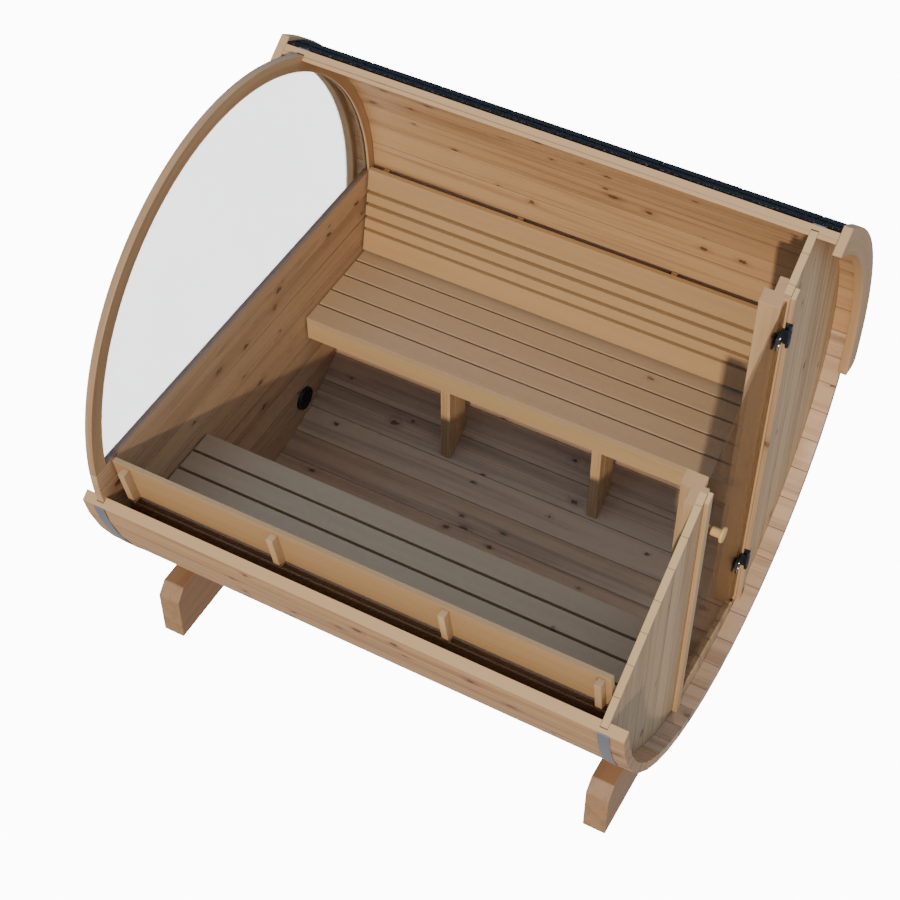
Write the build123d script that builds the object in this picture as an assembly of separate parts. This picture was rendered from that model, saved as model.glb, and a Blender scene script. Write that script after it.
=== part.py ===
from build123d import *

import os
from math import acos, atan2, cos, degrees, hypot, radians, sin

# Barrel sauna shown cut open: a stave barrel on two cradles, with facing benches and a glass door.
# Millimetres, +Z up. The barrel lies along X, its door at +X. Angles round the barrel are measured
# from the top towards -Y, the near side, so 90 is near, 180 is the bottom and 270 is far.
# The parts are modelled about the barrel's own axis and moved to stand on the ground at the end.

# Barrel
BARREL_RADIUS = 1025
BARREL_LENGTH = 2200
STAVE_THICKNESS = 42
STAVE_COUNT = 48
JOINT_GAP = 0.4
TONGUE_DEPTH = 8
TONGUE_HEIGHT = 12
CROZE_DEPTH = 23
AXIS_HEIGHT = 1130

# The sloping plane that the barrel is cut along, as angles down from the top of the barrel
CUT_FAR_ANGLE = 31.1
CUT_NEAR_ANGLE = 99.6

# Hoops and cradles
HOOP_THICKNESS = 2
HOOP_WIDTH = 46
HOOP_CENTRE_X = 1024
CRADLE_THICKNESS = 94
CRADLE_CENTRE_X = 951
CRADLE_HALF_WIDTH = 810
CRADLE_TOP_Z = -857
CRADLE_CHAMFER = (46, 51)

# Roof
SHINGLE_COURSES = 9
SHINGLE_THICKNESS = 6
SHINGLE_LAP = 40
ROOF_END_ANGLE = 97
ROOF_OVERLAP = 2
FASCIA_THICKNESS = 36
FASCIA_INNER_RADIUS = 951
FASCIA_OUTER_RADIUS = 1052
FASCIA_END_ANGLE = 100
FASCIA_CORNER = 35

# End walls
REAR_WALL_X = -1029
FRONT_WALL_X = 1016
REAR_WALL_THICKNESS = 30
FRONT_WALL_THICKNESS = 28
WALL_RADIUS = 1004
CROZE_GAP = 0.5
WINDOW_RIM_INNER_RADIUS = 941
WINDOW_GLASS_THICKNESS = 8
WINDOW_GLASS_BITE = 14
VENT_CENTRE = (331, -824)
VENT_PLATE_RADIUS = 55
VENT_PLATE_THICKNESS = 8
VENT_SLEEVE_RADIUS = 40

# The doorway and the benches are set out on both sides of this line, a little beyond the barrel's axis
ROOM_CENTRE_Y = 14

# Doorway: half widths and X positions of the stepped jambs
JAMB_INNER_Y = 256
JAMB_REBATE_Y = 286
JAMB_OUTER_Y = 300
JAMB_COVER_Y = 345
JAMB_INNER_X = 932
JAMB_STOP_X = 1012
JAMB_OUTER_X = 1031
COVER_X = 968
SILL_TOP_Z = -915
CASING_INNER_Y = 293
CASING_OUTER_Y = 328
CASING_THICKNESS = 18

# Glass door
DOOR_HALF_WIDTH = 280
DOOR_THICKNESS = 8
DOOR_INNER_X = 1017
DOOR_BOTTOM_Z = -908
KNOB_CENTRE = (-160, -8)
KNOB_STEM_RADIUS = 17
KNOB_DISC_RADIUS = 30
KNOB_DISC_THICKNESS = 12
KNOB_REACH = 50
HINGE_AXIS_X = 1050
HINGE_HEIGHTS = (566, -662)
LEAF_LENGTH = 100
LEAF_THICKNESS = 4
LEAF_GAP = 2
KNUCKLE_RADIUS = 7
KNUCKLE_GAP = 1
PIN_RADIUS = 3
PIN_GAP = 0.4
CLAMP_LENGTH = 60
CLAMP_REACH = 57
CLAMP_THICKNESS = 8

# Benches
SEAT_TOP_Z = -385
SLAT_THICKNESS = 28
SLAT_PITCH = 103
SLAT_GAP = 8
SLAT_ENDS_X = (-1006, 996)
SEAT_FRONT_Y = 372
SEAT_BACK_Y = 871
FRONT_BOARD_THICKNESS = 28
FRONT_BOARD_DEPTH = 87
SUPPORT_CENTRES_X = (-345, 345)
SUPPORT_WIDTH = 43
POST_DEPTH = 44
BRACE_END_Y = 506
BEARER_DEPTH = 60
FOOT_RADIUS = 981

# Backrests: the boards' edges, from the top down, as heights from the barrel's axis
BACKREST_FOOT_Y = 833
BACKREST_SLOPE = 0.19
BACKREST_THICKNESS = 22
FAR_BACKREST_BOARDS = ((20, -74), (-92, -133), (-151, -197), (-214, -256), (-272, -368))
NEAR_BACKREST_BOARDS = ((3, -131), (-150, -197), (-218, -260), (-276, -368))
RIB_CENTRES_X = (-948, -316, 372, 961)
RIB_WIDTH = 26
RIB_DEPTH = 36
RIB_DROP = 16
RIB_END_Z = -200

# Worked-out sizes
HALF_LENGTH = BARREL_LENGTH / 2
STAVE_ANGLE = 360 / STAVE_COUNT
INNER_RADIUS = BARREL_RADIUS - STAVE_THICKNESS
HOOP_OUTER_RADIUS = BARREL_RADIUS + HOOP_THICKNESS
SEAT_UNDERSIDE_Z = SEAT_TOP_Z - SLAT_THICKNESS
CASING_FACE_X = JAMB_OUTER_X + CASING_THICKNESS
HINGE_LEAF_Y = ROOM_CENTRE_Y + CASING_INNER_Y
HINGE_AXIS_Y = HINGE_LEAF_Y - LEAF_THICKNESS - LEAF_GAP - KNUCKLE_RADIUS
DOOR_HINGE_EDGE_Y = ROOM_CENTRE_Y + DOOR_HALF_WIDTH
NEAR = -1
FAR = 1


def on_circle(radius, angle):
    """The (y, z) point of a circle at an angle from the top towards the near side."""
    return (-radius * sin(radians(angle)), radius * cos(radians(angle)))


def across(side, distance):
    """The Y position at a distance to one side of the room's centre line."""
    return ROOM_CENTRE_Y + side * distance


CUT_FAR = on_circle(BARREL_RADIUS, -CUT_FAR_ANGLE)
CUT_NEAR = on_circle(BARREL_RADIUS, CUT_NEAR_ANGLE)
CUT_SLOPE = (CUT_FAR[1] - CUT_NEAR[1]) / (CUT_FAR[0] - CUT_NEAR[0])
CUT_TILT = degrees(atan2(CUT_SLOPE, 1))
CUT_DISTANCE = (CUT_FAR[1] - CUT_SLOPE * CUT_FAR[0]) * cos(radians(CUT_TILT))


def cut_angles(radius):
    """The angles where the cut meets a circle: on the far side, negative, and on the near side."""
    half_opening = degrees(acos(CUT_DISTANCE / radius))
    return CUT_TILT - half_opening, CUT_TILT + half_opening


# Building blocks


def prism_x(points, x_start, x_end):
    """A solid along X from (y, z) points."""
    face = make_face(Polyline(*points, close=True))
    return extrude(Plane.YZ.offset(x_start) * face, amount=x_end - x_start)


def prism_z(points, z_start, z_end):
    """A solid along Z from (x, y) points."""
    face = make_face(Polyline(*points, close=True))
    return extrude(Plane.XY.offset(z_start) * face, amount=z_end - z_start)


def block(x_start, x_end, y_start, y_end, z_start, z_end):
    y_low, y_high = sorted((y_start, y_end))
    corners = [(x_start, y_low), (x_end, y_low), (x_end, y_high), (x_start, y_high)]
    return prism_z(corners, z_start, z_end)


def disc_x(radius, x_start, x_end, y=0, z=0):
    """A cylinder along X."""
    return extrude(Plane.YZ.offset(x_start) * Pos(y, z) * Circle(radius), amount=x_end - x_start)


def ring_x(inner_radius, outer_radius, x_start, x_end):
    return disc_x(outer_radius, x_start, x_end) - disc_x(inner_radius, x_start, x_end)


def above_cut(x_start=-2000, x_end=2000):
    """Everything that the sloping cut takes away."""
    reach = 3000
    near_end = (-reach, CUT_NEAR[1] + CUT_SLOPE * (-reach - CUT_NEAR[0]))
    far_end = (reach, CUT_NEAR[1] + CUT_SLOPE * (reach - CUT_NEAR[0]))
    return prism_x([near_end, far_end, (reach, 2 * reach), (-reach, 2 * reach)], x_start, x_end)


def wedge(angle_start, angle_end, x_start, x_end):
    """A sector of less than 180 degrees, wider than the whole part."""
    reach = 4000
    middle = (angle_start + angle_end) / 2
    corners = [on_circle(reach, angle) for angle in (angle_start, middle, angle_end)]
    return prism_x([(0, 0), *corners], x_start, x_end)


# Shell


def joint_point(angle, radius, offset):
    """A (y, z) point on a joint's radial line, or offset square to it towards +Y."""
    turn = radians(angle)
    return (
        radius * sin(turn) + offset * cos(turn),
        radius * cos(turn) - offset * sin(turn),
    )


def plain_stave():
    """One stave at the top of the barrel, with a tongue, a groove and a croze near each end."""
    half = STAVE_ANGLE / 2
    inner = INNER_RADIUS / cos(radians(half))
    middle = (inner + BARREL_RADIUS) / 2
    tongue_low = middle - TONGUE_HEIGHT / 2
    tongue_high = middle + TONGUE_HEIGHT / 2
    groove_low = tongue_low - JOINT_GAP
    groove_high = tongue_high + JOINT_GAP
    groove_depth = TONGUE_DEPTH + JOINT_GAP
    face = JOINT_GAP / 2
    profile = [
        joint_point(half, inner, -face),
        joint_point(half, tongue_low, -face),
        joint_point(half, tongue_low, TONGUE_DEPTH),
        joint_point(half, tongue_high, TONGUE_DEPTH),
        joint_point(half, tongue_high, -face),
        joint_point(half, BARREL_RADIUS, -face),
        joint_point(-half, BARREL_RADIUS, face),
        joint_point(-half, groove_high, face),
        joint_point(-half, groove_high, groove_depth),
        joint_point(-half, groove_low, groove_depth),
        joint_point(-half, groove_low, face),
        joint_point(-half, inner, face),
    ]
    stave = prism_x(profile, -HALF_LENGTH, HALF_LENGTH)
    for wall_x, wall_thickness in (
        (REAR_WALL_X, REAR_WALL_THICKNESS),
        (FRONT_WALL_X, FRONT_WALL_THICKNESS),
    ):
        half_width = wall_thickness / 2 + CROZE_GAP
        croze_radius = INNER_RADIUS + CROZE_DEPTH
        stave -= block(wall_x - half_width, wall_x + half_width, -200, 200, 0, croze_radius)
    return stave


def staves(first, last):
    """The staves between two joint angles, each trimmed where the cut passes."""
    pattern = plain_stave()
    removed = above_cut()
    far_angle, near_angle = cut_angles(BARREL_RADIUS)
    solids = []
    for number in range(round(first / STAVE_ANGLE), round(last / STAVE_ANGLE)):
        start = number * STAVE_ANGLE
        stave = Rot(start + STAVE_ANGLE / 2, 0, 0) * pattern
        if start < near_angle or start + STAVE_ANGLE > 360 + far_angle:
            stave -= removed
        solids.append(stave)
    return solids


def hoop(side):
    """A steel band that follows the barrel from one edge of the cut to the other."""
    centre = side * HOOP_CENTRE_X
    band = ring_x(BARREL_RADIUS, HOOP_OUTER_RADIUS, centre - HOOP_WIDTH / 2, centre + HOOP_WIDTH / 2)
    return [band - above_cut()]


def cradle(side):
    """A bearer across the ground, hollowed on top to the barrel's curve."""
    slope_run, slope_drop = CRADLE_CHAMFER
    profile = [
        (-CRADLE_HALF_WIDTH, -AXIS_HEIGHT),
        (CRADLE_HALF_WIDTH, -AXIS_HEIGHT),
        (CRADLE_HALF_WIDTH, CRADLE_TOP_Z - slope_drop),
        (CRADLE_HALF_WIDTH - slope_run, CRADLE_TOP_Z),
        (slope_run - CRADLE_HALF_WIDTH, CRADLE_TOP_Z),
        (-CRADLE_HALF_WIDTH, CRADLE_TOP_Z - slope_drop),
    ]
    x_start = side * CRADLE_CENTRE_X - CRADLE_THICKNESS / 2
    x_end = x_start + CRADLE_THICKNESS
    return [prism_x(profile, x_start, x_end) - disc_x(BARREL_RADIUS, x_start, x_end)]


# Roof


def roof_shingles():
    """Overlapping courses: each is flat, low at its upper edge and proud at its lower edge."""
    cut_angle, _ = cut_angles(BARREL_RADIUS)
    pitch = (ROOF_END_ANGLE + cut_angle) / SHINGLE_COURSES
    lap = degrees(SHINGLE_LAP / BARREL_RADIUS)
    under = HOOP_OUTER_RADIUS + 1
    over = under + SHINGLE_THICKNESS + 3
    length = HALF_LENGTH - ROOF_OVERLAP
    removed = above_cut()
    courses = []
    for course in range(SHINGLE_COURSES):
        top = cut_angle - course * pitch + (lap if course else 1)
        low = cut_angle - (course + 1) * pitch
        profile = [
            on_circle(under, top),
            on_circle(under + SHINGLE_THICKNESS, top),
            on_circle(over + SHINGLE_THICKNESS, low),
            on_circle(over, low),
        ]
        courses.append(prism_x(profile, -length, length) - removed)
    return courses


def roof_fascia(side):
    """A curved board over the stave ends, with a rounded lower end."""
    x_start = min(side * HALF_LENGTH, side * (HALF_LENGTH + FASCIA_THICKNESS))
    x_end = x_start + FASCIA_THICKNESS
    board = ring_x(FASCIA_INNER_RADIUS, FASCIA_OUTER_RADIUS, x_start, x_end)
    board = board & wedge(-FASCIA_END_ANGLE, 0, x_start, x_end)
    board -= above_cut()
    lower_end = on_circle(FASCIA_OUTER_RADIUS, -FASCIA_END_ANGLE)
    corner = [
        edge for edge in board.edges().filter_by(Axis.X)
        if hypot(edge.center().Y - lower_end[0], edge.center().Z - lower_end[1]) < 1
    ]
    return [fillet(corner, FASCIA_CORNER)]


# End walls


def wall_disc(wall_x, thickness, radius):
    return disc_x(radius, wall_x - thickness / 2, wall_x + thickness / 2)


def rear_wall():
    """The lower half of the rear end, with the hole of the vent."""
    wall = wall_disc(REAR_WALL_X, REAR_WALL_THICKNESS, WALL_RADIUS)
    wall &= block(-2000, 2000, -2000, 2000, -2000, 0)
    x_start = REAR_WALL_X - REAR_WALL_THICKNESS / 2
    x_end = REAR_WALL_X + REAR_WALL_THICKNESS / 2
    return [wall - disc_x(VENT_SLEEVE_RADIUS + 1, x_start, x_end, *VENT_CENTRE)]


def vent_grille():
    """A round plate on the inner face, with a sleeve through the wall."""
    face_x = REAR_WALL_X + REAR_WALL_THICKNESS / 2
    plate = disc_x(VENT_PLATE_RADIUS, face_x, face_x + VENT_PLATE_THICKNESS, *VENT_CENTRE)
    return [plate + disc_x(VENT_SLEEVE_RADIUS, face_x - REAR_WALL_THICKNESS, face_x, *VENT_CENTRE)]


def window_rim():
    """A half ring over the rear wall, grooved for the glass."""
    rim = wall_disc(REAR_WALL_X, REAR_WALL_THICKNESS, WALL_RADIUS)
    rim -= wall_disc(REAR_WALL_X, REAR_WALL_THICKNESS, WINDOW_RIM_INNER_RADIUS)
    rim -= wall_disc(REAR_WALL_X, WINDOW_GLASS_THICKNESS + 1, WINDOW_RIM_INNER_RADIUS + WINDOW_GLASS_BITE + 2)
    return [rim & block(-2000, 2000, -2000, 2000, 0, 2000)]


def window_glass():
    pane = wall_disc(REAR_WALL_X, WINDOW_GLASS_THICKNESS, WINDOW_RIM_INNER_RADIUS + WINDOW_GLASS_BITE)
    return [pane & block(-2000, 2000, -2000, 2000, 0, 2000)]


def front_wall(y_start, y_end, top_z=None):
    """A piece of the front end between two Y positions, under the cut or a level top."""
    wall = wall_disc(FRONT_WALL_X, FRONT_WALL_THICKNESS, WALL_RADIUS)
    piece = wall & block(-2000, 2000, y_start, y_end, -2000, 2000 if top_z is None else top_z)
    return [piece - above_cut()]


# Doorway


def door_jamb(side):
    """A stepped jamb: lining, rebate for the glass, and a cover strip behind the wall."""
    section = [
        (JAMB_INNER_X, JAMB_INNER_Y),
        (JAMB_STOP_X, JAMB_INNER_Y),
        (JAMB_STOP_X, JAMB_REBATE_Y),
        (JAMB_OUTER_X, JAMB_REBATE_Y),
        (JAMB_OUTER_X, JAMB_OUTER_Y),
        (FRONT_WALL_X - FRONT_WALL_THICKNESS / 2, JAMB_OUTER_Y),
        (FRONT_WALL_X - FRONT_WALL_THICKNESS / 2, JAMB_COVER_Y),
        (COVER_X, JAMB_COVER_Y),
        (COVER_X, JAMB_OUTER_Y),
        (JAMB_INNER_X, JAMB_OUTER_Y),
    ]
    jamb = prism_z([(x, across(side, y)) for x, y in section], -INNER_RADIUS, INNER_RADIUS)
    return [(jamb & disc_x(FOOT_RADIUS, 0, 2000)) - above_cut()]


def door_casing(side):
    """The trim board outside a jamb, standing on the staves."""
    inner_y = across(side, CASING_INNER_Y)
    outer_y = across(side, CASING_OUTER_Y)
    board = block(JAMB_OUTER_X, CASING_FACE_X, inner_y, outer_y, -INNER_RADIUS, INNER_RADIUS)
    return [(board & disc_x(FOOT_RADIUS, 0, 2000)) - above_cut()]


# Glass door and its hinges


def door_glass():
    pane = block(
        DOOR_INNER_X, DOOR_INNER_X + DOOR_THICKNESS,
        across(NEAR, DOOR_HALF_WIDTH), DOOR_HINGE_EDGE_Y, DOOR_BOTTOM_Z, INNER_RADIUS,
    )
    return [pane - above_cut()]


def door_knob():
    """A turned knob outside and a plain one inside, each tight against the glass."""
    outer_face = DOOR_INNER_X + DOOR_THICKNESS
    neck = KNOB_REACH - KNOB_DISC_THICKNESS
    outer = disc_x(KNOB_STEM_RADIUS, outer_face, outer_face + neck, *KNOB_CENTRE)
    outer += disc_x(KNOB_DISC_RADIUS, outer_face + neck, outer_face + KNOB_REACH, *KNOB_CENTRE)
    inner = disc_x(KNOB_STEM_RADIUS, DOOR_INNER_X - neck, DOOR_INNER_X, *KNOB_CENTRE)
    inner += disc_x(KNOB_DISC_RADIUS, DOOR_INNER_X - KNOB_REACH, DOOR_INNER_X - neck, *KNOB_CENTRE)
    return [outer, inner]


def upright_pin(radius, z_start, z_end):
    """A cylinder round the hinge's axis."""
    centre = Pos(HINGE_AXIS_X, HINGE_AXIS_Y)
    return extrude(Plane.XY.offset(z_start) * centre * Circle(radius), amount=z_end - z_start)


def hinge_frame_half(centre_z):
    """A leaf on the casing's inner edge, with a boss at each end that holds the pin between them."""
    low = centre_z - LEAF_LENGTH / 2
    high = centre_z + LEAF_LENGTH / 2
    boss_inset = (LEAF_LENGTH - CLAMP_LENGTH) / 2 - KNUCKLE_GAP
    x_start = HINGE_AXIS_X - KNUCKLE_RADIUS
    x_end = HINGE_AXIS_X + KNUCKLE_RADIUS
    half = block(JAMB_OUTER_X, x_end, HINGE_LEAF_Y - LEAF_THICKNESS, HINGE_LEAF_Y, low, high)
    for boss_low, boss_high in ((low, low + boss_inset), (high - boss_inset, high)):
        half += block(x_start, x_end, HINGE_AXIS_Y, HINGE_LEAF_Y, boss_low, boss_high)
        half += upright_pin(KNUCKLE_RADIUS, boss_low, boss_high)
    return [half + upright_pin(PIN_RADIUS, low, high)]


def hinge_glass_half(centre_z):
    """Two clamp plates on the glass, the outer one with an arm and a knuckle that turns on the pin."""
    low = centre_z - CLAMP_LENGTH / 2
    high = centre_z + CLAMP_LENGTH / 2
    outer_face = DOOR_INNER_X + DOOR_THICKNESS
    plate_end_y = DOOR_HINGE_EDGE_Y - CLAMP_REACH
    stop_y = across(FAR, JAMB_INNER_Y) - LEAF_GAP - LEAF_THICKNESS
    inner_plate = block(DOOR_INNER_X - CLAMP_THICKNESS, DOOR_INNER_X, plate_end_y, stop_y, low, high)
    outside = block(outer_face, outer_face + CLAMP_THICKNESS, plate_end_y, DOOR_HINGE_EDGE_Y, low, high)
    outside += block(outer_face, HINGE_AXIS_X, HINGE_AXIS_Y - KNUCKLE_RADIUS, HINGE_AXIS_Y, low, high)
    outside += upright_pin(KNUCKLE_RADIUS, low, high)
    return [inner_plate, outside - upright_pin(PIN_RADIUS + PIN_GAP, low, high)]


# Benches


def bench_seat(side):
    """Slats with even gaps, the first one flush with the front board's face."""
    x_start, x_end = SLAT_ENDS_X
    slats = []
    start = SEAT_FRONT_Y
    while start < SEAT_BACK_Y:
        end = min(start + SLAT_PITCH - SLAT_GAP, SEAT_BACK_Y)
        slats.append(block(x_start, x_end, across(side, start), across(side, end), SEAT_UNDERSIDE_Z, SEAT_TOP_Z))
        start += SLAT_PITCH
    return slats


def bench_front(side):
    x_start, x_end = SLAT_ENDS_X
    front_y = across(side, SEAT_FRONT_Y)
    back_y = across(side, SEAT_FRONT_Y + FRONT_BOARD_THICKNESS)
    return [block(x_start, x_end, front_y, back_y, SEAT_UNDERSIDE_Z - FRONT_BOARD_DEPTH, SEAT_UNDERSIDE_Z)]


def bench_supports(side):
    """At each support a post, a brace board behind it and a bearer under the slats."""
    post_top_z = SEAT_UNDERSIDE_Z - FRONT_BOARD_DEPTH
    front_y = across(side, SEAT_FRONT_Y)
    board_back_y = across(side, SEAT_FRONT_Y + FRONT_BOARD_THICKNESS)
    post_back_y = across(side, SEAT_FRONT_Y + POST_DEPTH)
    brace_end_y = across(side, BRACE_END_Y)
    seat_back_y = across(side, SEAT_BACK_Y)
    room = disc_x(FOOT_RADIUS, -HALF_LENGTH, HALF_LENGTH)
    solids = []
    for centre_x in SUPPORT_CENTRES_X:
        x_start = centre_x - SUPPORT_WIDTH / 2
        x_end = centre_x + SUPPORT_WIDTH / 2
        post = block(x_start, x_end, front_y, post_back_y, -INNER_RADIUS, post_top_z)
        post += block(x_start, x_end, board_back_y, post_back_y, post_top_z, SEAT_UNDERSIDE_Z)
        brace = block(x_start, x_end, post_back_y + side, brace_end_y, -INNER_RADIUS, SEAT_UNDERSIDE_Z)
        bearer_low_z = SEAT_UNDERSIDE_Z - BEARER_DEPTH
        bearer = block(x_start, x_end, brace_end_y + side, seat_back_y, bearer_low_z, SEAT_UNDERSIDE_Z)
        solids += [post & room, brace & room, bearer & room]
    return solids


def backrest_face_y(z):
    """Distance of the backrest's face from the room's centre line: it leans out towards the top."""
    return BACKREST_FOOT_Y + BACKREST_SLOPE * (z - SEAT_TOP_Z)


def leaning_board(side, x_start, x_end, z_top, z_bottom, offset, thickness):
    """A board parallel to the backrest's face, at an offset behind it."""
    slant = hypot(1, BACKREST_SLOPE)
    front = offset * slant
    back = (offset + thickness) * slant
    top_y = backrest_face_y(z_top)
    bottom_y = backrest_face_y(z_bottom)
    profile = [
        (across(side, bottom_y + front), z_bottom),
        (across(side, top_y + front), z_top),
        (across(side, top_y + back), z_top),
        (across(side, bottom_y + back), z_bottom),
    ]
    return prism_x(profile, x_start, x_end)


def backrest(side, boards):
    x_start, x_end = SLAT_ENDS_X
    return [leaning_board(side, x_start, x_end, top, low, 0, BACKREST_THICKNESS) for top, low in boards]


def backrest_ribs(side, boards):
    """Blocks between the backrest and the staves, trimmed to the barrel's curve."""
    room = disc_x(FOOT_RADIUS, -HALF_LENGTH, HALF_LENGTH)
    top = boards[0][0] - RIB_DROP
    ribs = []
    for centre_x in RIB_CENTRES_X:
        x_start = centre_x - RIB_WIDTH / 2
        x_end = x_start + RIB_WIDTH
        rib = leaning_board(side, x_start, x_end, top, RIB_END_Z, BACKREST_THICKNESS, RIB_DEPTH)
        ribs.append(rib & room)
    return ribs


# Assembly


def all_nodes():
    near_joint = STAVE_ANGLE * (cut_angles(BARREL_RADIUS)[1] // STAVE_ANGLE)
    return {
        "cradle_rear": cradle(-1),
        "cradle_front": cradle(1),
        "shell_near": staves(near_joint, near_joint + 6 * STAVE_ANGLE),
        "shell_floor": staves(near_joint + 6 * STAVE_ANGLE, near_joint + 16 * STAVE_ANGLE),
        "shell_far_lower": staves(near_joint + 16 * STAVE_ANGLE, near_joint + 23 * STAVE_ANGLE),
        "shell_far_upper": staves(near_joint + 23 * STAVE_ANGLE, near_joint + 31 * STAVE_ANGLE),
        "hoop_rear": hoop(-1),
        "hoop_front": hoop(1),
        "roof_shingles": roof_shingles(),
        "roof_fascia_rear": roof_fascia(-1),
        "roof_fascia_front": roof_fascia(1),
        "rear_wall": rear_wall(),
        "vent_grille": vent_grille(),
        "window_rim": window_rim(),
        "window_glass": window_glass(),
        "front_wall_near": front_wall(-2000, across(NEAR, JAMB_OUTER_Y + 1)),
        "front_wall_far": front_wall(across(FAR, JAMB_OUTER_Y + 1), 2000),
        "front_wall_sill": front_wall(across(NEAR, JAMB_INNER_Y - 1), across(FAR, JAMB_INNER_Y - 1), SILL_TOP_Z),
        "door_frame_near": door_jamb(NEAR),
        "door_frame_far": door_jamb(FAR),
        "door_casing_near": door_casing(NEAR),
        "door_casing_far": door_casing(FAR),
        "door_glass": door_glass(),
        "door_knob": door_knob(),
        "door_hinge_frame_upper": hinge_frame_half(HINGE_HEIGHTS[0]),
        "door_hinge_frame_lower": hinge_frame_half(HINGE_HEIGHTS[1]),
        "door_hinge_glass_upper": hinge_glass_half(HINGE_HEIGHTS[0]),
        "door_hinge_glass_lower": hinge_glass_half(HINGE_HEIGHTS[1]),
        "far_bench_seat": bench_seat(FAR),
        "far_bench_front": bench_front(FAR),
        "far_bench_supports": bench_supports(FAR),
        "far_backrest": backrest(FAR, FAR_BACKREST_BOARDS),
        "far_backrest_ribs": backrest_ribs(FAR, FAR_BACKREST_BOARDS),
        "near_bench_seat": bench_seat(NEAR),
        "near_bench_front": bench_front(NEAR),
        "near_bench_supports": bench_supports(NEAR),
        "near_backrest": backrest(NEAR, NEAR_BACKREST_BOARDS),
        "near_backrest_ribs": backrest_ribs(NEAR, NEAR_BACKREST_BOARDS),
    }


def to_ground():
    """Moves the barrel's axis so that the bounding box stands centred on the origin."""
    _, near_angle = cut_angles(HOOP_OUTER_RADIUS)
    near_reach = -on_circle(HOOP_OUTER_RADIUS, near_angle)[0]
    return Pos(0, (near_reach - FASCIA_OUTER_RADIUS) / 2, AXIS_HEIGHT)


def solids_of(shapes):
    return [solid for shape in shapes for solid in shape.solids()]


os.makedirs("parts", exist_ok=True)
placement = to_ground()
for name, shapes in all_nodes().items():
    solids = solids_of(shapes)
    moved = [placement * solid for solid in solids]
    export_step(Compound(children=moved) if len(moved) > 1 else moved[0], f"parts/{name}.step")
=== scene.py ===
"""Dresses the cut-open barrel sauna: eased boards, wood, shingle tabs, hinges, glass, light and camera."""
from itertools import pairwise
from math import cos, pi, radians, sin, sqrt

import bmesh
import bpy
from mathutils import Matrix, Quaternion, Vector


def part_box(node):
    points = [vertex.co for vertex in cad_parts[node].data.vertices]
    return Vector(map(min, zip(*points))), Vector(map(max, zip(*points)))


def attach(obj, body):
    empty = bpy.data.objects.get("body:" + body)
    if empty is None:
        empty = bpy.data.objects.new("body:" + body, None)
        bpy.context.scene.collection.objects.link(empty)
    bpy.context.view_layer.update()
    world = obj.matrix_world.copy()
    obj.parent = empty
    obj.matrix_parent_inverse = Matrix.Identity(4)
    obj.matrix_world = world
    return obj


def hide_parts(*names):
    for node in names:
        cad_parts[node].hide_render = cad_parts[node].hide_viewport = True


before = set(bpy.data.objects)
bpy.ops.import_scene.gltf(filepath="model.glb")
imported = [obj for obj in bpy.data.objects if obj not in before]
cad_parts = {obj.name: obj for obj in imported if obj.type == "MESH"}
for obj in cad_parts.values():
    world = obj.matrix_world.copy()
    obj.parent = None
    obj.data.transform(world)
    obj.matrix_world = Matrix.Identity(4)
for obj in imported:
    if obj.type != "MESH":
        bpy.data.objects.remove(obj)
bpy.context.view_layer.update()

# The barrel's axis stands at the foot of the half-round window, in the middle of it
RIM_LOW, RIM_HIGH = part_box("window_rim")
AXIS_Y = (RIM_LOW.y + RIM_HIGH.y) / 2
AXIS_Z = RIM_LOW.z
BARREL_AXIS = Vector((0, AXIS_Y, AXIS_Z))
BARREL_RADIUS = 1.025
STAVE_COUNT = 48
STAVE_PITCH = BARREL_RADIUS * radians(360 / STAVE_COUNT)

# The sloping cut, by its tilt and its distance from the barrel's axis
CUT_TILT = radians(34.25)
CUT_REACH = 0.4275
CUT_NORMAL = Vector((0, -sin(CUT_TILT), cos(CUT_TILT)))

# Boards of the end walls, and the axes that they are laid out along
ALONG_Y, ALONG_Z = 1, 2
REAR_BOARD = 0.108
FRONT_BOARD = 0.096
FRONT_BOARD_START = AXIS_Y - 0.326
WALL_GAP = 0.0003
JOINT_LINE = 0.0024
JOINT_SHADE = 0.75

# How much wider the seat's gaps are than in the frame, and the joint under the near backrest's top board
WIDER_GAP = 0.004
TIGHT_JOINT = 0.0005

# How far apart the boards of one piece are numbered, from the piece's seed on
BOARD_STEP = 0.731

# How far edges are rounded
STAVE_EDGE = 0.0012
PLANED_EDGE = 0.001
BOARD_EDGE = 0.002
JAMB_EDGE = 0.0015
FASCIA_EDGE = 0.003
BEAM_EDGE = 0.004
KNOB_EDGE = 0.004
METAL_EDGE = 0.001
REAR_GROOVE = 0.002
FRONT_GROOVE = 0.0008

# Hinge screws and clamp strips
SCREW_RADIUS = 0.004
SCREW_DEPTH = 0.003
LEAF_SCREW_INSET = (0.006, 0.0045, 0.009)
CLAMP_PLATE = 0.008
CLAMP_SCREW_INSET = (0.018, 0.014)
STRIP_WIDTH = 0.004
STRIP_PROUD = 0.001

# Vent
LOUVRE_PITCH = 0.012
LOUVRE_ROWS = 3
LOUVRE_PROUD = 0.003
LOUVRE_SUNK = 0.001
LOUVRE_MARGIN = 0.009
VENT_RIM_WIDTH = 0.007
VENT_RIM_HEIGHT = 0.004
VENT_RIM_CHAMFER = 0.001
VENT_SIDES = 48

# Shingles; a face larger than the course area is the outer face of a course
TAB_PITCH = 0.3
TAB_SLOT = 0.008
TAB_SHARE = 0.62
TAB_THICKNESS = 0.003
COURSE_AREA = 0.2

# Floor and sky: brighter to the camera and through glass than they are as light
FLOOR_HALF_SIZE = 40
SEEN_WHITE = 12.0
FLOOR_GLOW = 0.5
FLOOR_THROUGH_GLASS = 1.42
SKY_GLOW = 0.92
SKY_THROUGH_GLASS = 1.5
SKY_COLOUR = (0.60, 0.84, 1.20, 1)
WHITE = (1.0, 1.0, 1.0, 1)

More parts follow.
